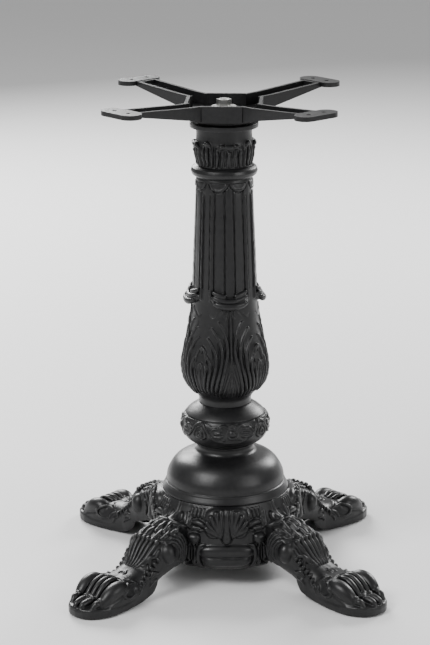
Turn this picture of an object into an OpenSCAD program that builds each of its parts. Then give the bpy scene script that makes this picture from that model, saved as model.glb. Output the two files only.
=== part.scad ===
// Ornate cast-iron pedestal table base: a four-legged paw foot, a stacked hollow column and a
// cross-shaped top spider, all clamped together by one tie rod. Millimetres, +Z up, origin on the
// floor at the middle of the feet. The spider's arms lie on the diagonals of X and Y.

/* [Overall] */
// Height from the floor to the table-top pads
total_h = 720; // [718:1:724]
// Distance from the column's axis to the tips of the toes
toe_reach = 313; // [310:1:330]
// Angle that the foot casting has been turned from the spider
base_turn = 4.2; // [0:0.1:10]
// Angle that the column has been turned from the spider
column_turn = 12.8; // [0:0.1:20]

/* [Top spider] */
// Distance from the axis to the middle of each screw pad
pad_reach = 192; // [185:1:198]
// Distance between the two screw holes of a pad
pad_hole_gap = 29; // [24:0.5:34]
// Diameter of the screw holes
pad_hole_d = 6.5; // [5:0.1:8]
// Length of a pad, across its arm
pad_l = 72; // [64:1:80]
// Width of a pad, along its arm
pad_w = 32; // [28:1:36]
// Thickness of a pad
pad_t = 6.7; // [5:0.1:8]
// Outer width of an arm
arm_w = 36; // [32:1:38]
// Thickness of the ribs along an arm
rib_t = 5; // [3.5:0.5:7]
// Distance across the flats of the hub
hub_w = 112; // [104:1:116]
// Height of the hub's walls
hub_h = 24; // [22:1:28]

/* [Column] */
// Height of the bell casting's underside
bell_z = 122.5; // [121:0.5:124]
// Radius of the bell's foot
bell_r = 95; // [93:0.5:96]
// Height of the joint between the bell and the knop
knop_z = 194; // [193:1:195]
// Height of the joint between the knop and the shaft
shaft_z = 257; // [256:1:258]
// Height of the joint between the shaft and the capital
capital_z = 597; // [594:1:600]
// Wall thickness of the column castings
wall = 7; // [6:0.5:9]
// Number of flutes that the shaft would have all round
flute_count = 16; // [12:4:20]

/* [Foot casting] */
// Radius of the drum between the legs
drum_r = 110; // [108:1:114]
// Height of the drum's lower edge
drum_z = 31; // [28:1:36]
// Wall thickness of the foot casting
base_wall = 8; // [7:0.5:10]
// Height of the paws' soles above the floor
sole_z = 2; // [1:0.5:3]

/* [Tie rod] */
// Diameter of the tie rod
rod_d = 12; // [10:1:14]
// Distance across the flats of the nuts
nut_af = 19; // [17:1:22]
// Height of the nuts
nut_h = 10; // [8:0.5:12]
// Outer diameter of the top washer
washer_d = 36; // [30:1:38]

/* [Glides] */
// Distance from the axis to each levelling glide
glide_reach = 276; // [270:1:282]
// Diameter of a glide's pad
glide_d = 30; // [24:1:32]
// Diameter of a glide's screw
stem_d = 9.8; // [9.6:0.1:9.9]

/* [Hidden] */
$fn = 96;
cast_iron = [0.07, 0.07, 0.075];
zinc = [0.8, 0.8, 0.78];
nylon = [0.1, 0.1, 0.1];

rod_clear = 0.5;                       // gap round the rod in the castings
spigot_gap = 0.5;                      // gap round the spigots that centre one casting on the next
spigot_r = 30;                         // radius of the sockets at the column's joints
spigot_h = 6;                          // how far a spigot reaches into the next casting
disc_z = 674;                          // underside of the disc that caps the column
disc_t = 8;
disc_r = 50;
hub_z = total_h - 7 - hub_h;           // underside of the spider's hub
hub_top = hub_z + hub_h;
boss_z = hub_top - 11.5;               // seat of the top washer
washer_t = 3;
base_plate_t = 10;
boss_depth = 17;                       // depth of the foot casting's central boss
bottom_washer_z = bell_z - boss_depth - washer_t;
rod_bottom = bottom_washer_z - nut_h - 5;
rod_top = boss_z + washer_t + nut_h + 1;
stem_hole_d = stem_d + 0.2;
glide_pad_h = 4;
pocket_h = glide_pad_h + 1.6 - sole_z; // pocket in the sole that takes the pad
stem_top = 26;

// ---- small helpers ----

// Four copies round the axis, the first on the diagonal between +X and +Y
module on_diagonals(turn = 0) {
    for (k = [0:3]) rotate([0, 0, 45 + turn + 90 * k]) children();
}

// A solid whose outline is drawn in the radial-vertical plane, w wide across it
module radial_slab(outline, w) {
    translate([0, w / 2, 0]) rotate([90, 0, 0]) linear_extrude(height = w) polygon(outline);
}

module ring(r_out, r_in, z, h) {
    translate([0, 0, z]) difference() {
        cylinder(r = r_out, h = h);
        translate([0, 0, -1]) cylinder(r = r_in, h = h + 2);
    }
}

// A turned shell: points is the outer outline from the bottom up as [radius, height]
module turned_shell(points, thick) {
    last = len(points) - 1;
    inner = [for (k = [last:-1:0]) [points[k][0] - thick, points[k][1]]];
    rotate_extrude() polygon(concat(points, inner));
}

function mirrored(points) =
    concat(points, [for (k = [len(points) - 1:-1:0]) [points[k][0], -points[k][1]]]);

// ---- foot casting ----

leg_top = [[60, 113], [100, 109], [120, 102], [145, 92], [164, 85], [174, 79], [186, 63],
           [198, 48], [210, 43], [232, 45], [250, 44], [266, 38], [280, 30], [296, 23]];
leg_toe = [[toe_reach - 5, 20], [toe_reach, 11], [toe_reach - 3, sole_z]];
leg_under = [[206, sole_z], [194, 5], [180, 12], [160, 24], [140, drum_z], [60, drum_z]];
leg_plan = [[60, 30], [106, 27], [115, 30], [125, 35], [136, 38], [160, 38], [178, 34], [196, 32],
            [212, 33], [234, 37], [262, 38.5], [284, 37], [299, 30], [toe_reach - 5, 19], [toe_reach, 8]];
hollow_top = [[40, 104], [98, 100], [120, 93], [142, 83], [158, 76], [167, 69], [178, 54],
              [189, 39], [208, 34], [230, 36], [250, 34]];
hollow_plan = [[40, 22], [106, 19], [115, 22], [125, 27], [136, 30], [160, 30], [178, 26], [196, 24],
               [212, 25], [234, 29], [250, 30]];

module leg_body() {
    intersection() {
        radial_slab(concat(leg_top, leg_toe, leg_under), 150);
        linear_extrude(height = 140) polygon(mirrored(leg_plan));
    }
}

module leg_hollow() {
    intersection() {
        radial_slab(concat(hollow_top, [[250, -5], [40, -5]]), 150);
        translate([0, 0, -5]) linear_extrude(height = 140) polygon(mirrored(hollow_plan));
    }
}

// The smooth round knob on each side of a leg's knee
module knee_knobs() {
    for (side = [-1, 1]) translate([155, side * 30, 65]) sphere(r = 15, $fn = 48);
}

drum_outline = [[drum_r - 6, drum_z], [drum_r - 1, drum_z + 5], [drum_r, 66], [drum_r - 2, 92],
                [drum_r - 7, 106], [bell_r + 2, bell_z - 5], [bell_r - 1, bell_z]];

module drum() {
    turned_shell(drum_outline, base_wall);
    translate([0, 0, bell_z - base_plate_t]) cylinder(r = bell_r - 3, h = base_plate_t);
    translate([0, 0, bell_z - boss_depth]) cylinder(r = 32, h = boss_depth);
    ring(84.5, 78, bell_z - 1, 5);
}

module base_casting() {
    color(cast_iron) rotate([0, 0, base_turn]) difference() {
        union() {
            drum();
            on_diagonals() difference() {
                union() {
                    leg_body();
                    knee_knobs();
                }
                leg_hollow();
                cylinder(r = drum_r - base_wall / 2, h = 200);
            }
        }
        on_diagonals() intersection() {
            leg_hollow();
            translate([70, -28, -5]) cube([60, 56, 92]);
        }
        translate([0, 0, bell_z - 60]) cylinder(d = rod_d + 2 * rod_clear, h = 100);
        on_diagonals() translate([glide_reach, 0, 0]) {
            translate([0, 0, -1]) cylinder(d = glide_d + 3, h = sole_z + pocket_h + 1);
            cylinder(d = stem_hole_d, h = stem_top + 2);
        }
    }
}

// ---- column ----

module spigot(z) {
    ring(spigot_r - spigot_gap, spigot_r - wall, z - spigot_h, spigot_h + 4);
}

// Thickens the lower end of a casting into a flat seat, and carries its spigot
module lower_end(z, r) {
    ring(r, spigot_r - wall, z, spigot_h);
    spigot(z);
}

// Thickens the upper end of a casting, round the socket for the next spigot
module upper_end(z, r) {
    ring(r, spigot_r, z - spigot_h - 2, spigot_h + 2);
}

bell_outline = [[bell_r, bell_z], [bell_r - 1, bell_z + 3], [90, 132.5], [88.8, 134], [86.2, 136],
                [87, 141], [86.8, 147], [84.6, 153], [81.8, 159], [78.2, 165.5], [72.5, 171],
                [64, 175.5], [52, 178.5], [45.5, 180.5], [42.5, 184], [42.2, 190], [43.5, knop_z]];

module bell_casting() {
    color(cast_iron) rotate([0, 0, column_turn]) {
        turned_shell(bell_outline, wall);
        upper_end(knop_z, 41);
    }
}

knop_outline = [[43.5, knop_z], [50, 197.5], [57.6, 203], [62.4, 210], [65, 216], [65.5, 222],
                [65, 229], [63.2, 235], [58.6, 240], [53.8, 240.6], [53.2, 246], [49, 251],
                [42, 254.8], [39.2, shaft_z]];

module knop_casting() {
    color(cast_iron) rotate([0, 0, column_turn]) {
        turned_shell(knop_outline, wall);
        lower_end(knop_z, 42);
        upper_end(shaft_z, 38);
    }
}

vase_outline = [[39.2, shaft_z], [38.9, 262], [39.8, 267], [44.4, 273], [52, 279.5], [57.6, 286],
                [61.5, 292], [63.8, 298], [65, 304], [65.7, 313], [64.9, 323], [62.6, 335.5],
                [59.5, 348], [56.4, 360], [53.4, 378], [51.4, 394], [49.4, 408]];
shaft_outline = concat(vase_outline, [[47.6, 436], [45.6, 495], [43.2, 555], [41.7, capital_z]]);
scroll_r = 9.5;
scroll_l = 51;
scroll_reach = 54;
scroll_z = 419;
flute_r = 3.2;
flute_low = 434;
flute_high = 570;

// A flute follows the shaft's taper
module flute() {
    tilt = atan((47.6 - 42.8) / (flute_high - flute_low));
    translate([48.4, 0, flute_low]) rotate([0, -tilt, 0]) cylinder(r = flute_r, h = flute_high - flute_low);
}

module shaft_casting() {
    color(cast_iron) rotate([0, 0, column_turn]) {
        difference() {
            turned_shell(shaft_outline, wall);
            for (k = [0:flute_count - 1]) rotate([0, 0, 360 / flute_count * (k + 0.5)]) flute();
        }
        for (k = [0:3]) rotate([0, 0, 90 * k]) {
            translate([scroll_reach, -scroll_l / 2, scroll_z]) rotate([-90, 0, 0])
                cylinder(r = scroll_r, h = scroll_l);
            translate([39, -scroll_l / 2 + 4, scroll_z - 7])
                cube([scroll_reach - 41, scroll_l - 8, 14]);
        }
        lower_end(shaft_z, 38);
        upper_end(capital_z, 40);
    }
}

torus_r = 8.9;
torus_reach = 40;
torus_z = 610.4;
capital_outline = [[41.7, capital_z], [41.2, 621], [42.4, 627], [45.4, 637], [45.9, 643], [44.2, 651],
                   [41.2, 657], [40.7, disc_z + 2]];

module capital_casting() {
    color(cast_iron) rotate([0, 0, column_turn]) {
        turned_shell(capital_outline, wall);
        rotate_extrude() translate([torus_reach, 0]) difference() {
            translate([0, torus_z]) circle(r = torus_r, $fn = 48);
            translate([-20, torus_z - 20]) square([20, 40]);
        }
        ring(disc_r, spigot_r, disc_z, disc_t);
        ring(40, spigot_r, disc_z, hub_z - disc_z);
        lower_end(capital_z, 40);
    }
}

// ---- top spider ----

pad_in = pad_reach - pad_w / 2;
hub_side = 29;                         // half the length of the hub's straight sides
hub_floor = 7;
arm_start = 56;
arm_top = [[arm_start, hub_top], [80, hub_top + 0.5], [pad_in + 3, total_h - 0.6]];
arm_under = [[pad_in + 6, total_h - pad_t], [80, hub_z + 6], [arm_start, hub_z]];

module pad() {
    end = (pad_l - pad_w) / 2;
    translate([pad_reach, 0, total_h - pad_t]) difference() {
        union() {
            translate([-pad_w / 2, -end, 0]) cube([pad_w, 2 * end, pad_t]);
            for (s = [-1, 1]) translate([0, s * end, 0]) cylinder(d = pad_w, h = pad_t);
        }
        for (s = [-1, 1]) translate([0, s * pad_hole_gap / 2, -1])
            cylinder(d = pad_hole_d, h = pad_t + 2, $fn = 32);
    }
}

// An arm is an open channel: two ribs on a thin floor that rises to the pad
module arm() {
    web = 5;
    difference() {
        radial_slab(concat(arm_top, arm_under), arm_w);
        radial_slab([[20, hub_z + hub_floor], [arm_start, hub_z + hub_floor], [80, hub_z + 6 + web],
                     [pad_in - 5, total_h - pad_t + 0.5], [pad_in - 5, total_h + 5],
                     [20, total_h + 5]], arm_w - 2 * rib_t);
    }
}

// An eight-sided outline with straight sides at the distance d and slanting ones across the arms
function hub_outline(d, side) = [[side, -d], [d, -side], [d, side], [side, d],
                                 [-side, d], [-d, side], [-d, -side], [-side, -d]];

// The hub is an open tub whose walls run out into the arms' ribs
module top_spider() {
    tub = hub_w / 2 - rib_t;
    color(cast_iron) difference() {
        union() {
            difference() {
                translate([0, 0, hub_z]) linear_extrude(height = hub_h)
                    polygon(hub_outline(hub_w / 2, hub_side));
                translate([0, 0, hub_z + hub_floor]) linear_extrude(height = hub_h)
                    polygon(hub_outline(tub, hub_side - rib_t / 2));
            }
            on_diagonals() arm();
            on_diagonals() pad();
            translate([0, 0, hub_z + 2]) cylinder(r = 24, h = boss_z - hub_z - 2);
            ring(spigot_r - spigot_gap, spigot_r - wall, hub_z - spigot_h, spigot_h + 1);
        }
        on_diagonals() translate([arm_start - 2, -arm_w / 2 + rib_t, hub_z + hub_floor])
            cube([30, arm_w - 2 * rib_t, hub_h]);
        translate([0, 0, hub_z - 20]) cylinder(d = rod_d + 2 * rod_clear, h = hub_h + 40);
    }
}

// ---- tie rod, nuts and washers ----

module hex_nut(z, gap) {
    translate([0, 0, z]) difference() {
        cylinder(d = nut_af / cos(30), h = nut_h, $fn = 6);
        translate([0, 0, -1]) cylinder(d = rod_d + 2 * gap, h = nut_h + 2);
    }
}

module tie_rod() {
    color(zinc) translate([0, 0, rod_bottom]) cylinder(d = rod_d, h = rod_top - rod_bottom);
}

module bottom_washer() {
    color(zinc) ring(25, rod_d / 2 + rod_clear, bottom_washer_z, washer_t);
}

module bottom_nut() {
    color(zinc) hex_nut(bottom_washer_z - nut_h, 0);
}

module top_washer() {
    color(zinc) ring(washer_d / 2, rod_d / 2 + rod_clear, boss_z, washer_t);
}

module top_nut() {
    color(zinc) hex_nut(boss_z + washer_t, 0.05);
}

// ---- levelling glides, one under each paw ----

module at_glide(k) {
    rotate([0, 0, 45 + base_turn + 90 * (k - 1)]) translate([glide_reach, 0, 0]) children();
}

module glide_pad(k) {
    color(nylon) at_glide(k) cylinder(d = glide_d, h = glide_pad_h);
}

module glide_stem(k) {
    color(zinc) at_glide(k) {
        translate([0, 0, glide_pad_h]) cylinder(r = 6.5, h = 1.4);
        translate([0, 0, glide_pad_h + 1]) cylinder(d = stem_d, h = stem_top - glide_pad_h - 1);
    }
}

base_casting();
bell_casting();
knop_casting();
shaft_casting();
capital_casting();
top_spider();
tie_rod();
bottom_washer();
bottom_nut();
top_washer();
top_nut();
for (k = [1:4]) {
    glide_pad(k);
    glide_stem(k);
}
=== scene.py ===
"""Looks of an ornate cast-iron pedestal table base: sculpted castings, zinc nuts and nylon glides."""
import math

import bpy
import mathutils
import numpy as np
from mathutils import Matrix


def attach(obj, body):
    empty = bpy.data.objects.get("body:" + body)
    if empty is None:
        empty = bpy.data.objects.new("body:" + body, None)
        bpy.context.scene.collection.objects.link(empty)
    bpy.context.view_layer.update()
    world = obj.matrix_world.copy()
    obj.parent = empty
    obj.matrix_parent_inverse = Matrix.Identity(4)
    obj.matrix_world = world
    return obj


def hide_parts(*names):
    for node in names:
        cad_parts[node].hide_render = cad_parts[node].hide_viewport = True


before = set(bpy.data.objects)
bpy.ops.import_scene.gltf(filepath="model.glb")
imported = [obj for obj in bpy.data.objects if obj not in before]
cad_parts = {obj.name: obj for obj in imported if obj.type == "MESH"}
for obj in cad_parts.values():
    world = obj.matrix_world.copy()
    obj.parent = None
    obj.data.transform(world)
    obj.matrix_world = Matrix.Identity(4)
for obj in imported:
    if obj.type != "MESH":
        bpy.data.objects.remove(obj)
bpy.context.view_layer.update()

MM = 0.001
FAR = 50.0                             # field value away from any shape, in mm
TINY_BLEND = 0.01                      # blend width of a sharp join
LINE_LENGTH = 200                      # how far a stroke's points look for the surface
LINE_STEP = 0.8


# ---------------------------------------------------------------- shape engine
# A casting is a distance field in millimetres on a grid, negative inside the iron. The castings
# repeat in four mirrored quarters, so only one eighth is worked out: a runs along a leg (or arm,
# or scroll), b is the distance across it, with a >= b >= 0, and z is up.

def smooth_min(p, q, k):
    """The lower of two fields, blended over k millimetres"""
    h = np.maximum(k - np.abs(p - q), 0) / k
    return np.minimum(p, q) - h * h * k * 0.25


def curve(points, spacing):
    """Points along a Catmull-Rom curve through the given points, about spacing apart"""
    p = np.asarray(points, float)
    if len(p) == 2:
        p = np.array([p[0], (p[0] + p[1]) / 2, p[1]])
    p = np.vstack([2 * p[0] - p[1], p, 2 * p[-1] - p[-2]])
    out = []
    for i in range(1, len(p) - 2):
        p0, p1, p2, p3 = p[i - 1:i + 3]
        n = max(2, int(np.linalg.norm((p2 - p1)[:3]) / spacing))
        t = np.linspace(0, 1, n, endpoint=False)[:, None]
        out.append(0.5 * (2 * p1 + (p2 - p0) * t + (2 * p0 - 5 * p1 + 4 * p2 - p3) * t**2
                          + (3 * p1 - p0 - 3 * p2 + p3) * t**3))
    out.append(p[-2:-1])
    return np.vstack(out)


def outline_distance(r, z, outline):
    """Signed distance from points to a closed outline, negative inside"""
    q = np.asarray(outline, float)
    best = np.full(np.broadcast(r, z).shape, 1e9)
    inside = np.zeros(best.shape, bool)
    for (r1, z1), (r2, z2) in zip(q, np.roll(q, -1, axis=0)):
        er, ez = r2 - r1, z2 - z1
        wr, wz = r - r1, z - z1
        t = np.clip((wr * er + wz * ez) / (er * er + ez * ez), 0, 1)
        best = np.minimum(best, (wr - er * t) ** 2 + (wz - ez * t) ** 2)
        crosses = ((z1 <= z) & (z < z2)) | ((z2 <= z) & (z < z1))
        if ez:
            inside ^= crosses & (r < r1 + er * (z - z1) / ez)
    return np.where(inside, -1, 1) * np.sqrt(best)


class Field:
    """The distance field of one eighth of a casting"""

    def __init__(self, reach, breadth, low, high, step):
        self.step, self.low = step, low
        self.a = np.arange(int(reach / step) + 2) * step
        self.b = np.arange(int(breadth / step) + 2) * step
        self.z = low + np.arange(int((high - low) / step) + 2) * step
        self.origin = np.array([0.0, 0.0, low])
        self.f = np.full((len(self.a), len(self.b), len(self.z)), FAR, np.float32)

    def axes(self):
        return self.a[:, None, None], self.b[None, :, None], self.z[None, None, :]

    def add(self, d, k=TINY_BLEND):
        self.f = smooth_min(self.f, d.astype(np.float32), k)

    def cut(self, d, k=TINY_BLEND):
        self.f = -smooth_min(-self.f, d.astype(np.float32), k)

    def turned(self, outline):
        """Distance to a turned solid whose outline is given as (radius, height)"""
        r = np.hypot(self.a[:, None], self.b[None, :])
        table_r = np.arange(0, r.max() + 2, 1.0)
        table = outline_distance(table_r[:, None], self.z[None, :], outline)
        i = np.floor(r).astype(int)
        w = (r - i)[:, :, None]
        return (table[i] * (1 - w) + table[i + 1] * w).astype(np.float32)

    def window(self, low, high):
        """The slices of the grid that cover a box"""
        slices = []
        for axis, lo, hi in zip((self.a, self.b, self.z), low, high):
            i = np.searchsorted(axis, [lo, hi])
            slices.append(slice(max(i[0] - 1, 0), min(i[1] + 1, len(axis))))
        return tuple(slices)

    def tube(self, points, radii, k, cut=False):
        """Blend in (or cut out) a round bar of varying radius along points"""
        if len(points) < 2:
            return
        radii = np.atleast_1d(np.asarray(radii, float))
        station = np.linspace(0, 1, len(points))
        if len(radii) != len(points):
            radii = np.interp(station, np.linspace(0, 1, len(radii)), radii)
        path = curve(np.column_stack([points, radii]), max(1.2, self.step * 1.6))
        p, r = path[:, :3], np.maximum(path[:, 3], 0.05)
        pad = r.max() + k + 2 * self.step
        box = self.window(p.min(0) - pad, p.max(0) + pad)
        grid = [axis[s] for axis, s in zip((self.a, self.b, self.z), box)]
        if min(len(g) for g in grid) == 0:
            return
        d = np.full([len(g) for g in grid], FAR, np.float32)
        for p0, p1, r0, r1 in zip(p[:-1], p[1:], r[:-1], r[1:]):
            reach = max(r0, r1) + k + 2 * self.step
            sub = []
            for g, lo, hi in zip(grid, np.minimum(p0, p1) - reach, np.maximum(p0, p1) + reach):
                i = np.searchsorted(g, [lo, hi])
                sub.append(slice(i[0], i[1]))
            if min(s.stop - s.start for s in sub) <= 0:
                continue
            e = p1 - p0
            length2 = max(e @ e, 1e-9)
            w = [g[s].astype(np.float32) - c for g, s, c in zip(grid, sub, p0)]
            wa, wb, wz = w[0][:, None, None], w[1][None, :, None], w[2][None, None, :]
            t = np.clip((wa * e[0] + wb * e[1] + wz * e[2]) / length2, 0, 1)
            da, db, dz = wa - t * e[0], wb - t * e[1], wz - t * e[2]
            dist = np.sqrt(da * da + db * db + dz * dz) - (r0 + (r1 - r0) * t)
            d[tuple(sub)] = np.minimum(d[tuple(sub)], dist)
        if cut:
            self.f[box] = -smooth_min(-self.f[box], d, k)
        else:
            self.f[box] = smooth_min(self.f[box], d, k)

    def egg(self, centre, radii, k):
        """Blend in an ellipsoid"""
        centre, radii = np.asarray(centre, float), np.asarray(radii, float)
        pad = radii + k + 2 * self.step
        box = self.window(centre - pad, centre + pad)
        grid = [axis[s] for axis, s in zip((self.a, self.b, self.z), box)]
        if min(len(g) for g in grid) == 0:
            return
        u = [(g - c) / r for g, c, r in zip(grid, centre, radii)]
        d = np.sqrt(u[0][:, None, None] ** 2 + u[1][None, :, None] ** 2 + u[2][None, None, :] ** 2)
        d = ((d - 1) * radii.min()).astype(np.float32)
        self.f[box] = smooth_min(self.f[box], d, k)

    def sample(self, p):
        """The field at any points, by trilinear interpolation"""
        q = (np.abs(p) * [1, 1, 0] + p * [0, 0, 1] - self.origin) / self.step
        swap = q[:, 1] > q[:, 0]
        q[swap, 0], q[swap, 1] = q[swap, 1].copy(), q[swap, 0].copy()
        top = np.array(self.f.shape) - 1.001
        outside = ((q < 0) | (q > top)).any(1)
        q = np.clip(q, 0, top)
        i = q.astype(int)
        w = q - i
        out = np.zeros(len(q))
        for c in range(8):
            o = [(c >> n) & 1 for n in range(3)]
            weight = np.prod([w[:, n] if o[n] else 1 - w[:, n] for n in range(3)], axis=0)
            out += weight * self.f[i[:, 0] + o[0], i[:, 1] + o[1], i[:, 2] + o[2]]
        return np.where(outside, FAR, out)

    def project(self, start, direction, lift):
        """Move points along a direction until they meet the surface, and stop lift above it. Points
        that miss are left out."""
        start = np.asarray(start, float)
        direction = np.broadcast_to(np.asarray(direction, float), start.shape)
        direction = direction / np.linalg.norm(direction, axis=1)[:, None]
        travel = np.arange(0, LINE_LENGTH, LINE_STEP)
        hit = np.zeros(len(start))
        for n in range(len(start)):
            line = start[n] + travel[:, None] * direction[n]
            inside = np.flatnonzero(self.sample(line) < 0)
            hit[n] = travel[inside[0]] if len(inside) else np.nan
        good = np.isfinite(hit)
        return start[good] + (hit[good, None] - lift) * direction[good]

    def full(self):
        """The whole field, from its eighth"""
        n = len(self.a)
        i = np.abs(np.arange(-(n - 1), n))
        hi = np.maximum(i[:, None], i[None, :])
        lo = np.minimum(i[:, None], i[None, :])
        out = np.full((len(i), len(i), len(self.z)), FAR, np.float32)
        held = lo < len(self.b)
        out[held] = self.f[hi[held], lo[held]]
        return out, np.array([-(n - 1) * self.step, -(n - 1) * self.step, self.low])


def surface(f, origin, step):
    """Surface nets: one vertex in each cell that the surface crosses, one quad for each crossed
    grid edge"""
    shape = np.array(f.shape) - 1
    solid = f < 0
    corner = [(i, j, k) for i in (0, 1) for j in (0, 1) for k in (0, 1)]

    def part(array, c):
        return array[c[0]:c[0] + shape[0], c[1]:c[1] + shape[1], c[2]:c[2] + shape[2]]

    some = np.zeros(shape, bool)
    every = np.ones(shape, bool)
    for c in corner:
        some |= part(solid, c)
        every &= part(solid, c)
    cells = np.flatnonzero(some & ~every)
    i, j, k = np.unravel_index(cells, shape)
    value = {c: f[i + c[0], j + c[1], k + c[2]] for c in corner}
    total = np.zeros((len(cells), 3))
    count = np.zeros(len(cells))
    for c in corner:
        for n in range(3):
            if c[n]:
                continue
            d = tuple(1 if m == n else c[m] for m in range(3))
            crossed = (value[c] < 0) != (value[d] < 0)
            t = value[c][crossed] / (value[c][crossed] - value[d][crossed])
            at = np.tile(np.array(c, float), (crossed.sum(), 1))
            at[:, n] += t
            total[crossed] += at
            count[crossed] += 1
    vertices = origin + (np.stack([i, j, k], 1) + total / count[:, None]) * step
    quads = []
    for n in range(3):
        u, v = (n + 1) % 3, (n + 2) % 3
        first = [slice(None)] * 3
        second = [slice(None)] * 3
        first[n] = slice(0, -1)
        second[n] = slice(1, None)
        lower, upper = solid[tuple(first)], solid[tuple(second)]
        edge = np.stack(np.nonzero(lower != upper), 1)
        inner = (edge[:, u] > 0) & (edge[:, v] > 0) & (edge[:, u] < shape[u]) & (edge[:, v] < shape[v])
        edge = edge[inner]
        out = lower[tuple(edge.T)]
        ring = []
        for du, dv in ((0, 0), (1, 0), (1, 1), (0, 1)):
            cell = edge.copy()
            cell[:, u] -= du
            cell[:, v] -= dv
            ring.append(np.searchsorted(cells, np.ravel_multi_index(cell.T, shape)))
        quad = np.stack(ring, 1)
        quad[~out] = quad[~out][:, ::-1]
        quads.append(quad)
    return vertices, np.vstack(quads)


def mesh_object(name, field, keep, turn):
    """A smooth-shaded object of a field's surface, turned about Z and thinned to keep triangles"""
    whole, origin = field.full()
    vertices, quads = surface(whole, origin, field.step)
    c, s = math.cos(turn), math.sin(turn)
    v = vertices @ np.array([[c, s, 0], [-s, c, 0], [0, 0, 1]]) * MM
    mesh = bpy.data.meshes.new(name)
    mesh.vertices.add(len(v))
    mesh.vertices.foreach_set("co", v.astype(np.float32).ravel())
    mesh.loops.add(quads.size)
    mesh.loops.foreach_set("vertex_index", quads.astype(np.int32).ravel())
    mesh.polygons.add(len(quads))
    mesh.polygons.foreach_set("loop_start", np.arange(0, quads.size, 4, dtype=np.int32))
    mesh.update(calc_edges=True)
    thing = bpy.data.objects.new(name, mesh)
    bpy.context.scene.collection.objects.link(thing)
    if 2 * len(quads) > keep:
        thin = thing.modifiers.new("thin", "DECIMATE")
        thin.ratio = keep / (2 * len(quads))
        graph = bpy.context.evaluated_depsgraph_get()
        thinned = bpy.data.meshes.new_from_object(thing.evaluated_get(graph))
        thing.modifiers.clear()
        thing.data = thinned
        bpy.data.meshes.remove(mesh)
        thinned.name = name
    thing.data.polygons.foreach_set("use_smooth", np.ones(len(thing.data.polygons), bool))
    return thing


# ---------------------------------------------------------------- foot casting
BASE_TURN = 4.2                        # degrees that the foot casting is turned on the floor
DRUM_R = 110                           # radius of the drum that carries the legs
RIM = 122.5                            # height of the drum's rim
SOLE = 2                               # gap between a paw and the floor
TOE = 312                              # reach of a paw from the axis
GLIDE_REACH = 276                      # from the axis to each levelling glide
GLIDE_BORE = (5.4, 26.4)               # radius and top of the hole for a glide's screw
OVER_LEGS = 126.0                      # where strokes start, before they are laid on the surface
BESIDE_LEGS = 66.0
ROUND_DRUM = 120
STEP = 0.9

leg_top = [(60, 111), (100, 106.5), (115, 101.5), (130, 95), (145, 88.5), (160, 82.5), (168, 79.5),
           (176, 73), (184, 63), (191, 54.5), (199, 48), (210, 43.5), (228, 42), (246, 41), (260, 36),
           (272, 28), (283, 20), (296, 17), (306, 15.5), (TOE, 11), (TOE - 1, 5), (TOE - 4, SOLE)]
leg_under = [(206, SOLE), (194, 5), (180, 11.5), (160, 24), (141, 31), (60, 31)]
leg_plan = [(60, 30), (106, 26.5), (114, 29), (124, 33.5), (134, 36.5), (145, 37), (160, 36),
            (178, 33), (196, 31), (212, 32), (234, 35), (256, 37), (275, 36.5), (289, 32),
            (300, 24), (308, 14), (TOE, 0)]
plinth_plan = [(205, 28), (222, 33), (240, 36.5), (260, 38), (278, 37), (292, 31.5), (303, 23),
               (309, 12), (TOE - 1, 0), (TOE - 1, -20), (205, -20)]
hollow_top = [(40, 101), (98, 97), (120, 90), (142, 80), (158, 73), (167, 66), (178, 53),
              (189, 38), (208, 33), (230, 32), (248, 28), (250, -9), (40, -9)]
hollow_plan = [(40, 22), (106, 19), (114, 21.5), (124, 26), (134, 28.5), (158, 28), (178, 25), (196, 23),
               (212, 24), (234, 27), (250, 29), (250, -20), (40, -20)]


def leg(field, side, plan, corner):
    """A leg-shaped solid: its side view and its plan, met with rounded corners"""
    side_d = outline_distance(field.a[:, None], field.z[None, :], side)[:, None, :]
    plan_d = outline_distance(field.a[:, None], field.b[None, :], plan)[:, :, None]
    return -smooth_min(-side_d, -plan_d, corner).astype(np.float32)


def dense(places, step=4.0):
    """More points along a curve through the places, so that it follows the surface"""
    p = np.asarray(places, float)
    return curve(np.column_stack([p, np.zeros(len(p))]), step)[:, :2]


def on_top(f, places, lift):
    """Points on a leg's upper side, given as (along, across)"""
    p = dense(places)
    return f.project(np.column_stack([p, np.full(len(p), OVER_LEGS)]), (0, 0, -1), lift)


def on_side(f, places, lift):
    """Points on a leg's flank, given as (along, height)"""
    p = dense(places)
    start = np.column_stack([p[:, 0], np.full(len(p), BESIDE_LEGS), p[:, 1]])
    return f.project(start, (0, -1, 0), lift)


def on_panel(f, places, lift):
    """Points on the drum, given as (round from the middle between two legs, height)"""
    p = dense(places)
    t = math.pi / 4 - p[:, 0] / DRUM_R
    out = np.column_stack([np.cos(t), np.sin(t), np.zeros(len(p))])
    return f.project(out * ROUND_DRUM + np.column_stack([np.zeros((len(p), 2)), p[:, 1]]), -out, lift)


def carve(f, strokes, k, cut=False):
    """Lay bars (or grooves) on the surface as it now is: (which side, places, radii, lift)"""
    laid = [(place(f, places, lift), radii) for place, places, radii, lift in strokes]
    for points, radii in laid:
        f.tube(points, radii, k, cut=cut)


def arc(u, z, r, start, end):
    """Twelve places along an arc, with angles in degrees from the first axis"""
    return [(u + r * math.cos(math.radians(t)), z + r * math.sin(math.radians(t)))
            for t in np.linspace(start, end, 12)]


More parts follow.
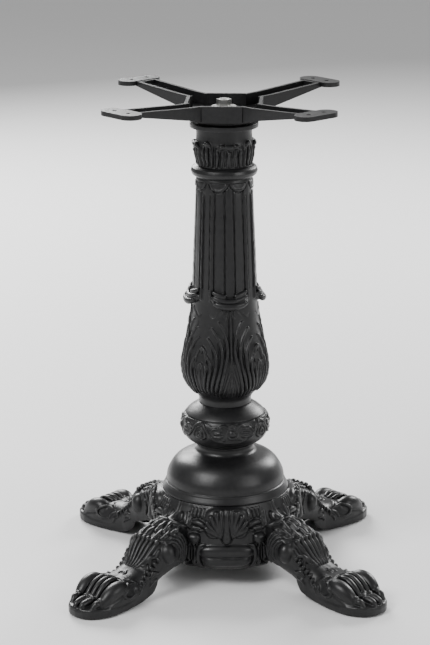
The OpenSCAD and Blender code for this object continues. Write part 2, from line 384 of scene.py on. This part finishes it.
def panel_relief(f):
    """Between two legs: a palmette over a cushioned cartouche, with a forked button on each side"""
    def bulge(u, r, z, deep, wide, tall, k):
        t = math.pi / 4 - u / DRUM_R
        a, b, zz = f.axes()
        along = a * math.cos(t) + b * math.sin(t) - r
        across = b * math.cos(t) - a * math.sin(t)
        d = ((np.abs(along) / deep) ** 2 + (np.abs(across) / wide) ** 3 + (np.abs(zz - z) / tall) ** 2.5)
        f.add((d ** 0.4 - 1) * min(deep, tall), k)

    bulge(0, 104, 55, 12, 40, 13, 2)
    bulge(0, 104, 43, 13, 37, 11, 1)
    bulge(0, 98, 100, 12, 33, 22, 4)
    bulge(49.5, 107.5, 75.5, 11, 10.5, 8.5, 0.6)
    petals = [(7.5, 118), (15.5, 115.5), (23, 109.5), (28.5, 101), (30.5, 91.5)]
    strokes = [(on_panel, [(5 + 0.12 * u, 79), (0.62 * u + 2.4, 0.55 * z + 36), (u, z)],
                [1.8, 3.2, 4.3], 1.4) for u, z in petals]
    strokes += [
        (on_panel, [(0, 119), (0, 104), (0, 90), (0, 77)], [3.4, 3.8, 5.8, 8.4], 1.6),
        (on_panel, [(29, 86), (24, 80.5), (15, 79)], [2.4, 2.8, 1.4], 1.0),
        (on_panel, [(33, 67.5), (40, 64), (43.5, 55), (43.5, 45), (40, 36), (35, 33)],
         [1.6, 3.2, 3.8, 3.8, 3.2, 1.8], 1.8),
        (on_panel, [(48.5, 68), (49, 58), (48.5, 48), (49.5, 38)], [2.4, 2.6, 2.8, 3.4], 1.4),
        (on_panel, [(56, 68), (60, 58), (61, 48), (62, 38)], [2.4, 2.8, 2.8, 2.4], 1.4),
        (on_panel, [(37, 97), (44, 98.5), (51, 98)], [4.4, 5.2, 4.2], 1.2),
        (on_panel, [(57, 104), (58.5, 97), (57.5, 90)], [2.6, 3.8, 2.4], 1.2),
        (on_panel, [(35, 89), (40, 88), (44, 86)], [1.4, 2.2, 1.2], 0.6),
    ]
    ribs = [(on_panel, [(u, 117), (1.02 * u, 107)], [2.2, 2.6], 1.0) for u in (38, 44.5, 51, 57.5)]
    carve(f, strokes + ribs, 1.0)
    grooves = [(on_panel, [(4 + 0.35 * u, 84), (0.7 * u - 0.4, 0.5 * z + 45), (u - 4, z + 1)],
                [0.8, 1.0, 0.8], 0.4) for u, z in petals]
    carve(f, grooves + [(on_panel, [(0, 48.5), (20, 48.5), (37, 50)], [1.6, 1.6, 1.0], 0.6),
                        (on_panel, [(32, 92), (46, 93), (57, 92)], [0.9, 1.2, 0.9], 0.2),
                        (on_panel, [(54.5, 62), (55, 50), (55.5, 40)], [1.6, 2.4, 2.4], 0)],
          0.8, cut=True)


def knee_relief(f):
    """Over the knee: leaves and tufts on top, and arcs round the smooth knob on each flank"""
    arcs = [(on_side, arc(153, 62, r, start, 216), [1.6, 2.5, 2.6, 2.6, 1.8], 1.3)
            for r, start in ((19.5, 78), (25, 112), (30.5, 124), (36, 134))]
    leaves = [
        (on_top, [(99, 21), (108, 24), (117, 22), (122, 13), (121, 3)], [2.4, 3.2, 3.4, 3.2, 2.6], 1.2),
        (on_top, [(96, 0), (105, 0), (114, 0)], [2.2, 2.8, 1.8], 0.8),
        (on_top, [(128, 0), (137, 0), (147, 0)], [3.0, 4.4, 3.4], 0.8),
        (on_top, [(126, 9), (134, 13), (142, 12)], [3.0, 4.4, 3.0], 0.8),
        (on_top, [(122, 24), (130, 26), (138, 24)], [2.6, 4.0, 2.8], 0.8),
        (on_top, [(143, 8), (151, 10), (159, 9)], [3.0, 4.2, 3.2], 0.6),
        (on_top, [(140, 20), (148, 22), (156, 20)], [2.8, 4.0, 2.8], 0.6),
        (on_top, [(142, 30), (150, 31), (155, 28)], [2.0, 3.0, 2.2], 0.6),
    ]
    carve(f, arcs + leaves, 0.7)
    f.egg((155, 31, 63), (12.5, 13.5, 16), 1.0)
    carve(f, [(on_side, [(178, 62), (184, 57), (186, 50)], [1.6, 3.2, 1.6], 1.4),
              (on_side, [(176, 40), (184, 41), (190, 35)], [1.6, 3.4, 1.6], 1.2),
              (on_side, [(178, 31), (186, 29), (191, 23)], [1.4, 3.0, 1.4], 1.0)], 1.0)
    veins = [(127, 13, 141, 14), (123, 25, 136, 27), (143, 13, 158, 13), (141, 24, 154, 23),
             (130, 4, 146, 3)]
    carve(f, [(on_top, [(a, b), (c, d)], [1.0, 1.0], 0.4) for a, b, c, d in veins]
          + [(on_top, [(104, 9), (111, 12), (116, 10)], [4.6, 6.0, 4.0], 1.8)], 0.8, cut=True)


def shank_relief(f):
    """Down the shin: pleats that start in curls, with a row of beads along each edge"""
    pleats = [(on_top, [(167, across), (175, across * 0.98), (184, across * 0.84), (192, across * 0.66),
                        (198, across * 0.54)], [3.6, 3.2, 3.0, 2.4, 1.6], 1.2)
              for across in (4.2, 12.4, 20.6)]
    pleats.append((on_top, [(169, 28), (177, 27), (186, 22), (193, 17)], [2.4, 3.2, 2.8, 1.8], 1.0))
    carve(f, pleats, 0.8)
    for across in (4.2, 13, 21.5):
        for x, y, z in f.project([(166.5, across, OVER_LEGS)], (0, 0, -1), -0.4):
            f.egg((x, y, z), (5.0, 4.4, 4.2), 0.8)
    for n in range(6):
        t = n / 5
        for x, y, z in f.project([(174 + 31 * t, BESIDE_LEGS, 58 - 26 * t)], (0, -1, 0), 0):
            f.egg((x, y + 0.8, z), (3.0, 4.8, 4.8), 0.4)


def paw_relief(f):
    """Toes with claws on a tall plinth, and scrolls behind the outer toes"""
    f.tube([(236, 22, 29), (248, 26, 34), (260, 26.5, 32), (271, 25.5, 26), (279, 24.5, 18)],
           [9, 11.5, 12, 10.5, 8], 1.6)
    for across in (0, 10):
        f.tube([(238, across * 0.8, 40), (248, across, 42), (260, across, 39), (271, across, 31),
                (279, across, 22)], [3.5, 4.8, 5.2, 4.8, 4.2], 0.8)
    carve(f, [(on_top, [(240, 5.0), (254, 5.2), (277, 5.2)], [1.4, 1.8, 1.4], 0.4),
              (on_top, [(238, 14.2), (254, 15.2), (279, 15.4)], [1.6, 2.2, 1.6], 0.4)], 0.6, cut=True)
    f.egg((GLIDE_REACH, 0, 17), (11, 10.5, 12), 1.0)          # iron over the end of the screw
    for across, reach in ((6.5, 306), (23, 298)):
        f.tube([(281, across, 18), (289, across, 21), (reach - 5, across * 0.94, 19),
                (reach, across * 0.9, 14)], [4.8, 5.4, 4.8, 3.4], 0.8)
        f.egg((283, across, 25), (3.4, 5.8, 3.2), 0.8)
    carve(f, [(on_side, [(222, 36), (236, 37), (246, 31), (246, 23), (236, 19), (226, 21)],
               [1.2, 2.2, 2.6, 2.6, 2.2, 1.2], 0.9),
              (on_side, [(212, 33), (219, 28), (222, 21)], [1.0, 2.4, 1.2], 1.0),
              (on_side, [(204, 28), (211, 24), (214, 17)], [1.0, 2.2, 1.2], 1.0),
              (on_top, [(208, 0), (217, 0)], [1.2, 1.6], 0.5),
              (on_top, [(210, 1), (215, 4.5), (220, 5)], [1.2, 1.6, 1.2], 0.5),
              (on_top, [(228, 16), (224, 23), (216, 27)], [1.4, 2.2, 1.2], 0.6)], 0.8)
    carve(f, [(on_top, [(233, 0), (234, 9), (236, 18)], [1.8, 2.0, 1.6], 0.4)], 0.8, cut=True)


def base_field():
    """The foot casting as a solid: the drum, a leg, and all that stands proud of them"""
    f = Field(TOE + 5, 88, SOLE - 4, RIM + 5.5, STEP)
    z = f.axes()[2]
    drum = [(0, 28.5), (105, 28.5), (108.5, 29.5), (110.5, 32), (110, 35), (108, 37), (108.5, 50),
            (109, 70), (108, 88), (105, 100), (100.5, 111), (97, 117), (95, RIM), (0, RIM)]
    f.add(f.turned(drum))
    corner = np.clip((z - 8) * 1.5, 3, 26)                    # sharp at the sole, round above it
    f.add(leg(f, leg_top + leg_under, leg_plan + [(60, -60)], corner), 5)
    f.add(leg(f, [(205, 0), (205, 10), (260, 11), (292, 15.5), (TOE, 15.5), (TOE, 0)], plinth_plan, 3), 3)
    panel_relief(f)
    knee_relief(f)
    shank_relief(f)
    paw_relief(f)
    f.f = np.maximum(f.f, np.maximum(z - RIM, SOLE - z))
    return f


def base_hollows(f):
    """The inside of the drum and legs, the rod's hole, and the pockets for the glides"""
    inside = [(0, 0), (94, 0), (98, 31), (100, 60), (99, 86), (94, 100), (88, 112.5), (32, 112.5),
              (32, 105.5), (0, 105.5)]
    f.cut(f.turned(inside))
    f.cut(leg(f, hollow_top, hollow_plan, 8), 3)
    f.cut(f.turned([(-5, 80), (6.5, 80), (6.5, 140), (-5, 140)]))
    a, b, z = f.axes()
    reach = np.hypot(a - GLIDE_REACH, b)
    f.cut(np.maximum(reach - 16.5, z - 5.6))
    f.cut(np.maximum(reach - GLIDE_BORE[0], z - GLIDE_BORE[1]))


base = base_field()
base_hollows(base)
base_sculpt = mesh_object("base_sculpt", base, 420000, math.radians(45 + BASE_TURN))
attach(base_sculpt, "base")
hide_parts("base_casting")


# ---------------------------------------------------------------- column castings
# Around the column a place is (angle from a scroll's axis in degrees, height in mm).

COLUMN_TURN = 12.8                     # degrees that the column's castings are turned
ROUND_COLUMN = 130                     # where strokes start, before they are laid on the surface
ROD_BORE = 33                          # radius of the bore down the column


def around(field, places, lift=0.0):
    """Points on a turned casting's surface at the given angles and heights"""
    p = np.asarray(places, float)
    t = np.radians(p[:, 0])
    out = np.column_stack([np.cos(t), np.sin(t), np.zeros(len(p))])
    start = out * ROUND_COLUMN + np.column_stack([np.zeros((len(p), 2)), p[:, 1]])
    return field.project(start, -out, lift)


def relief(field, strokes, k):
    """Raised bars on a turned casting: each stroke is (places, radii, how far it stands proud)"""
    laid = [(around(field, dense(places), lift), radii) for places, radii, lift in strokes]
    for points, radii in laid:
        field.tube(points, radii, k)


def engrave(field, strokes, k=0.8):
    """Grooves in a turned casting: each stroke is (places, radius)"""
    laid = [(around(field, dense(places)), radius) for places, radius in strokes]
    for points, radius in laid:
        field.tube(points, radius, k, cut=True)


def flowing(*runs):
    """An outline of (radius, height) places: each run is a smooth curve, and runs meet at corners"""
    out = []
    for run in runs:
        out += [tuple(p) for p in (dense(run, 1.5) if len(run) > 2 else run)]
    return out


bell_outline = flowing([(95, RIM), (95, 124.5)], [(94.2, 126.5), (91.2, 131.6)],
                       [(90.8, 132.6), (90.6, 134), (89.4, 135), (88, 135.2)],
                       [(88.2, 136.4), (88.4, 141), (87.4, 147.5), (85, 153.5), (81.8, 159.5),
                        (77.6, 165.5), (71.6, 171), (63.5, 175.4), (53, 178.8), (46, 181.2),
                        (42.8, 185), (42.2, 190), (43.5, 194)])
knop_outline = flowing([(43.5, 194), (50, 197.5), (57.6, 203), (62.4, 210), (65, 216), (65.5, 222),
                        (65, 229), (63.4, 235), (60.8, 239.8), (56.8, 244.6), (51.2, 249.4),
                        (44.8, 253.6), (39.2, 257)])
vase_outline = flowing([(39.2, 257), (38.9, 262), (39.8, 267), (43.6, 273), (50.4, 279.5),
                        (55.8, 286), (59.2, 292), (61.4, 298), (62.5, 304), (63.2, 313),
                        (62.4, 323), (60.4, 335.5), (57.8, 348), (55.2, 360), (52.6, 378),
                        (50.8, 394), (49.2, 408), (47.8, 430), (45.6, 495), (43.2, 555),
                        (41.7, 597)])
capital_outline = [(41.7, 597), (41, 600), (40, 601.6), (44, 602.8), (47.4, 605.6), (48.9, 610.4),
                   (47.4, 615.2), (44, 618), (40, 619.2), (40.6, 622), (41, 627), (42.6, 636),
                   (43, 645), (42.2, 652), (41, 657), (40.7, 665), (41, 674), (50, 674.6),
                   (50, 681.4), (40, 682), (40, 689)]


def shell(step, outline, bore, reach):
    """A field holding a turned casting with a bore right through it"""
    z = [p[1] for p in outline]
    f = Field(reach, reach / math.sqrt(2) + 3, min(z) - 2, max(z) + 2, step)
    f.add(f.turned([(0, z[0])] + outline + [(0, z[-1])]))
    low, high = z[0] - 9, z[-1] + 9
    f.cut(f.turned([(-5, low), (bore, low), (bore, high), (-5, high)]))
    return f


def knop_relief(f):
    """A band between two rolls, with a rosette on each scroll axis and S-scrolls between"""
    rosette = [([(10, 224), (16, 226), (23, 224.5), (25, 222)], [0.4, 2.2, 1.6, 0.3], 0.2),
               ([(10, 222), (16, 219.5), (23, 220), (25, 222)], [0.4, 2.0, 1.4, 0.3], 0.2),
               ([(5, 233), (11, 236.5), (17, 234), (15, 231)], [2.0, 2.2, 2.0, 0.8], 0.6),
               ([(17, 231), (24, 232), (29, 228), (30, 225)], [1.2, 2.0, 1.8, 0.6], 0.5),
               ([(0, 238), (4, 235), (3, 232)], [1.6, 2.0, 0.8], 0.5),
               ([(9, 217), (14, 214), (20, 216)], [1.0, 1.6, 0.5], 0.3)]
    scrolls = [([(45, 238.5), (41, 237), (36, 231), (32, 224), (26, 217), (18, 213), (9, 211),
                 (0, 210.5)], [1.2, 1.8, 1.9, 1.9, 1.8, 1.6, 1.5, 1.5], 0.8),
               ([(45, 233), (41, 231.5), (37.5, 225.5), (36, 219), (41, 214.5), (45, 214)],
                [1.2, 1.8, 1.8, 1.8, 1.6, 1.2], 0.7),
               ([(45, 226), (42, 224), (41.5, 220), (45, 218.5)], [1.8, 2.0, 2.0, 1.4], 0.6)]
    relief(f, rosette + scrolls, 0.7)
    engrave(f, [([(0, 240.4), (15, 240.4), (30, 240.4), (45, 240.4)], 0.8)], 0.4)
    engrave(f, [([(29, 235), (34, 237.5), (40, 240)], 0.7), ([(28, 220), (31, 226), (34, 231)], 0.8)])
    f.egg(around(f, [(0, 224.5)])[0], (3.4, 5.4, 5.4), 0.8)
    ring = [(7.6 * math.cos(t) * 0.9, 224.5 + 8.2 * math.sin(t)) for t in np.linspace(-1.6, 1.6, 9)]
    relief(f, [(ring, 1.1, 0.3)], 0.6)


def vase_relief(f):
    """Four acanthus fans, centred on the scrolls, with a hooded leaf between each two"""
    lobes = [([(0, 408), (0, 385), (0, 360), (0, 331)], [1.4, 2.0, 2.2, 1.6], 0.6),
             ([(0, 331), (3.5, 316), (7.5, 299), (11, 284), (12, 276)], [1.6, 1.9, 2.0, 1.8, 1.2], 0.6),
             ([(0, 318), (0.4, 302), (1, 284), (1, 277)], [0.5, 1.9, 2.0, 1.4], 0.6),
             ([(5, 280), (5.5, 292), (4, 302)], [1.6, 1.5, 0.4], 0.2),
             ([(17, 276), (16.5, 284), (13, 306), (9.3, 325), (6.2, 341), (5.6, 356), (8.6, 371),
               (14, 384), (18.5, 391), (21, 392)], [1.4, 2.2, 2.6, 2.7, 2.6, 2.5, 2.4, 2.2, 1.8, 1.0], 1.0),
             ([(22.5, 277), (22.5, 288), (18.5, 308), (14.6, 326), (13, 341), (14.5, 355),
               (19.5, 368), (26.5, 378), (30.5, 382), (33, 381)],
              [1.4, 2.2, 2.7, 2.8, 2.7, 2.6, 2.5, 2.2, 1.8, 1.0], 1.0),
             ([(27.5, 279), (28, 291), (25, 308), (22, 325), (21.5, 339), (24.5, 350), (31, 361),
               (36.5, 367), (38.5, 367)], [1.4, 2.2, 2.7, 2.8, 2.7, 2.5, 2.2, 1.8, 0.9], 1.0),
             ([(33, 281), (34, 292), (31.5, 308), (29, 322), (31, 333), (36, 341), (40, 345)],
              [1.3, 2.1, 2.5, 2.5, 2.3, 2.0, 0.9], 0.9),
             ([(39.5, 284), (39.5, 296), (37.5, 309), (36.5, 319), (38.5, 326)],
              [1.2, 1.9, 2.2, 2.0, 0.8], 0.7),
             ([(45, 283), (45, 296), (45, 308), (45, 322)], [1.2, 1.7, 2.2, 1.0], 0.6),
             ([(40.5, 312), (40.6, 322), (43, 329), (45, 330.5)], [0.8, 1.5, 1.7, 1.7], 0.8),
             ([(36.5, 330), (37.2, 341), (40.5, 350), (45, 353.5)], [0.9, 1.7, 2.3, 2.9], 1.6),
             ([(45, 351), (45, 344)], [2.4, 0.6], 1.8),
             ([(6.5, 408), (7, 400), (10.5, 391)], [1.2, 1.2, 0.4], 0.1),
             ([(24, 398), (17, 404), (13, 410)], [0.3, 1.3, 1.3], 0.1)]
    relief(f, lobes, 0.6)
    grooves = [([(3, 400), (3.2, 370), (3.2, 345), (4.5, 330)], 0.9),
               ([(11, 378), (10, 362), (10, 345), (12.5, 325), (16, 305), (20.5, 285)], 0.9),
               ([(20, 362), (18, 348), (18.6, 330), (22, 308), (25.5, 288)], 0.9),
               ([(29, 352), (25.8, 340), (26, 325), (28.5, 308), (31, 292)], 0.8),
               ([(34.5, 333), (33, 320), (35, 305), (36.5, 292)], 0.8),
               ([(36, 402), (30, 398), (24, 404)], 0.5)]
    engrave(f, grooves, 0.8)


def flutes(f):
    """Sixteen flutes: thin grooves beside low fillets, rounded off under a row of tongues"""
    for at, top in ((9.2, 588), (29.1, 586)):
        engrave(f, [([(at, 431), (at, 500), (at, top)], 1.9)], 0.6)
        relief(f, [([(at + 2.6, 431), (at + 2.4, 500), (at + 2.2, top - 6)], 0.9, 0.1),
                   ([(at - 2.6, 431), (at - 2.4, 500), (at - 2.2, top - 6)], 0.9, 0.1)], 1.0)
    relief(f, [([(35, 424), (34.6, 440), (34.6, 500), (34.6, 576)], [2.4, 1.7, 1.6, 1.2], 0.9)], 1.2)
    engrave(f, [([(38.2, 440), (38, 500), (38, 580)], 1.0)], 0.8)
    rim = [(21.5 - 20.5 * math.cos(t), 599.5 - 15.5 * math.sin(t)) for t in np.linspace(0.02, 3.12, 13)]
    inner = [(21.5 - 17.5 * math.cos(t), 599.5 - 12.6 * math.sin(t)) for t in np.linspace(0.02, 3.12, 13)]
    engrave(f, [(rim, 1.3)], 0.5)
    relief(f, [(inner, 1.3, 0.2)], 1.6)


def scroll(f):
    """The rolled end of a fluted panel: a small roll above a larger one, rising to its ends"""
    def roll(reach, height, half, radii, first=0.0):
        turn = [math.degrees(half / reach) * s for s in np.linspace(first, 1, 6)]
        return [((reach - 0.0014 * t * t) * math.cos(math.radians(t)),
                 (reach - 0.0014 * t * t) * math.sin(math.radians(t)),
                 height + 0.0075 * t * t) for t in turn], radii

    for points, radii in (roll(56.5, 417, 23.5, [5.4, 5.4, 5.4, 5.2, 4.8, 3.6]),
                          roll(53.5, 424.4, 24.5, [3.6, 3.6, 3.6, 3.5, 3.4, 2.8]),
                          roll(51, 430.4, 25, [3.4, 3.6, 3.6, 3.4, 2.8], 0.36),
                          roll(49, 420, 24, [7, 7, 7, 7, 6.5, 5])):
        f.tube(points, radii, 1.0)
    for points, radii in (roll(62.0, 414.6, 21, [0.8, 0.8, 0.8, 0.6]), roll(57.6, 421.2, 24, [0.9] * 3)):
        f.tube(points, radii, 0.6, cut=True)
    side = math.radians(24)
    end = [(57.5 + 3.0 * math.cos(t), 420.4 + 3.0 * math.sin(t)) for t in np.linspace(0, 5, 9)]
    f.tube([(x * math.cos(side), x * math.sin(side), z) for x, z in end], 0.9, 0.5, cut=True)


def capital_relief(f):
    """Four broad leaves that curl over at the top, above a bud, and a narrow leaf between each two"""
    relief(f, [([(0, 651), (8, 651.6), (15, 651.4), (22.5, 648)], [3.6, 3.0, 3.7, 2.2], 1.8),
               ([(24, 648), (22.6, 636), (25.5, 621)], [1.8, 2.2, 1.5], 1.0),
               ([(13.5, 646), (13.4, 634), (16, 621)], [1.5, 1.8, 1.3], 0.8),
               ([(0, 640), (0, 632), (0, 622)], [2.4, 1.6, 1.2], 0.8),
               ([(38.5, 652), (42, 654.6), (45, 655.4)], [2.2, 2.8, 3.6], 1.4),
               ([(37.5, 650), (34.6, 638), (36, 622)], [1.6, 2.0, 1.4], 0.9),
               ([(45, 652), (45, 638), (45, 623)], [2.4, 2.6, 1.7], 0.9)], 0.8)
    x, y, z = around(f, [(0, 642)])[0]
    f.egg((x, y, z), (2.8, 3.0, 3.2), 0.6)
    engrave(f, [([(7, 645), (6.4, 634), (7.5, 622)], 1.5), ([(18.5, 644), (18, 633), (20.5, 622)], 0.9),
                ([(30, 652), (28.8, 638), (30.5, 622)], 1.4), ([(40.6, 648), (40, 636), (41, 623)], 1.1),
                ([(8.6, 655), (9, 650)], 1.0), ([(18.6, 654), (19, 649)], 0.7)], 0.8)


def bell_field():
    """The bell is open below"""
    f = shell(1.0, bell_outline, ROD_BORE + 2, 98)
    inside = [(0, 110), (84, 110), (84, 140), (80, 150), (70, 164), (40, 172), (0, 172)]
    f.f = np.maximum(f.f, -f.turned(inside))
    return f


def knop_field():
    f = shell(0.75, knop_outline, ROD_BORE, 70)
    knop_relief(f)
    return f


def shaft_field():
    f = shell(0.75, vase_outline, ROD_BORE, 68)
    vase_relief(f)
    flutes(f)
    scroll(f)
    return f


def capital_field():
    f = shell(0.7, capital_outline, ROD_BORE, 54)
    capital_relief(f)
    return f


for part, make, keep in (("bell", bell_field, 60000), ("knop", knop_field, 110000),
                         ("shaft", shaft_field, 260000), ("capital", capital_field, 120000)):
    piece = mesh_object(part + "_sculpt", make(), keep, math.radians(COLUMN_TURN))
    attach(piece, "column")
    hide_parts(piece.name.replace("sculpt", "casting"))


# ---------------------------------------------------------------- materials
def iron_material():
    """Cast iron painted satin black: a fine sand-cast grain, and slightly uneven shine"""
    m = bpy.data.materials.new("satin_cast_iron")
    m.use_nodes = True
    nodes, links = m.node_tree.nodes, m.node_tree.links
    shader = nodes["Principled BSDF"]
    shader.inputs["Specular IOR Level"].default_value = 0.42
    place = nodes.new("ShaderNodeTexCoord")

    def noise(scale, detail):
        n = nodes.new("ShaderNodeTexNoise")
        n.inputs["Scale"].default_value = scale
        n.inputs["Detail"].default_value = detail
        links.new(place.outputs["Object"], n.inputs["Vector"])
        return n.outputs["Fac"]

    def ramp(value, low, high):
        r = nodes.new("ShaderNodeMapRange")
        r.inputs["From Min"].default_value = 0.3
        r.inputs["From Max"].default_value = 0.7
        r.inputs["To Min"].default_value = low
        r.inputs["To Max"].default_value = high
        links.new(value, r.inputs["Value"])
        return r.outputs["Result"]

    patches = noise(38, 3)
    links.new(ramp(patches, 0.32, 0.44), shader.inputs["Roughness"])
    mix = nodes.new("ShaderNodeMix")
    mix.data_type = "RGBA"
    mix.inputs["A"].default_value = (0.004, 0.004, 0.0045, 1)
    mix.inputs["B"].default_value = (0.008, 0.008, 0.0085, 1)
    links.new(ramp(noise(160, 2), 0, 1), mix.inputs["Factor"])
    links.new(mix.outputs["Result"], shader.inputs["Base Color"])
    bump = nodes.new("ShaderNodeBump")
    bump.inputs["Strength"].default_value = 0.22
    bump.inputs["Distance"].default_value = 0.0006
    links.new(noise(620, 3), bump.inputs["Height"])
    links.new(bump.outputs["Normal"], shader.inputs["Normal"])
    return m


def plain(name, colour, rough, metal=0.0):
    m = bpy.data.materials.new(name)
    m.use_nodes = True
    shader = m.node_tree.nodes["Principled BSDF"]
    shader.inputs["Base Color"].default_value = colour
    shader.inputs["Roughness"].default_value = rough
    shader.inputs["Metallic"].default_value = metal
    return m


def dress(thing, material):
    thing.data.materials.clear()
    thing.data.materials.append(material)


iron = iron_material()
zinc = plain("bright_zinc", (0.72, 0.72, 0.70, 1), 0.3, 1.0)
nylon = plain("black_nylon", (0.02, 0.02, 0.02, 1), 0.5)
for name in ("base_sculpt", "bell_sculpt", "knop_sculpt", "shaft_sculpt", "capital_sculpt"):
    dress(bpy.data.objects[name], iron)
for name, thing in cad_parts.items():
    if name.endswith("casting") or name == "top_spider":
        dress(thing, iron)
    elif name.endswith("pad"):
        dress(thing, nylon)
    else:
        dress(thing, zinc)


def soften(thing, width):
    """Rounded edges, as on a casting or a pressed washer"""
    mod = thing.modifiers.new("rounded edges", "BEVEL")
    mod.width = width
    mod.segments = 2
    mod.limit_method = "ANGLE"
    mod.angle_limit = math.radians(35)


soften(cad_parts["top_spider"], 0.0009)
for name in ("top_nut", "bottom_nut", "top_washer", "bottom_washer"):
    soften(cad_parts[name], 0.0004)


# ---------------------------------------------------------------- floor, light and camera
bpy.ops.mesh.primitive_plane_add(size=30)
floor = bpy.context.object
floor.name = "floor"
floor.data.materials.append(plain("pale_floor", (0.82, 0.82, 0.82, 1), 0.6))


LAMP_AIM = 0.35                        # height that the lamps face, in metres


def soft_light(name, place, size, power):
    """A square lamp that faces the middle of the object"""
    lamp = bpy.data.lights.new(name, "AREA")
    lamp.shape = "SQUARE"
    lamp.size = size
    lamp.energy = power
    thing = bpy.data.objects.new(name, lamp)
    bpy.context.scene.collection.objects.link(thing)
    thing.location = place
    aim = -thing.location
    aim.z += LAMP_AIM
    thing.rotation_mode = "QUATERNION"
    thing.rotation_quaternion = aim.to_track_quat("-Z", "Y")


soft_light("key", (-1.9, -1.9, 2.7), 1.4, 105)
soft_light("fill", (2.6, -1.6, 1.6), 1.4, 30)
soft_light("back", (-1.3, 2.9, 1.9), 1.6, 150)
soft_light("edge", (1.9, 2.6, 1.7), 1.2, 90)
world = bpy.data.worlds.new("studio")
world.use_nodes = True
world.node_tree.nodes["Background"].inputs[0].default_value = (1, 1, 1, 1)
world.node_tree.nodes["Background"].inputs[1].default_value = 0.45
bpy.context.scene.world = world

VIEW_TURN = math.radians(3.521)        # round from the frame's front
VIEW_DOWN = math.radians(15.77)        # down from level
VIEW_ROLL = -0.0045                    # lean of the camera, in radians
VIEW_PLACE = (0.1961, -3.4235, 1.3467)
LENS = 133.95                          # for a sensor 36 mm high, as the frame is taller than wide
camera_data = bpy.data.cameras.new("camera")
camera_data.sensor_width = 36
camera_data.lens = LENS
camera = bpy.data.objects.new("camera", camera_data)
bpy.context.scene.collection.objects.link(camera)
camera.location = VIEW_PLACE
level = mathutils.Euler((math.radians(90) - VIEW_DOWN, 0, VIEW_TURN)).to_matrix()
camera.rotation_euler = (level @ mathutils.Matrix.Rotation(VIEW_ROLL, 3, "Z")).to_euler()
camera_data.clip_end = 50
bpy.context.scene.camera = camera
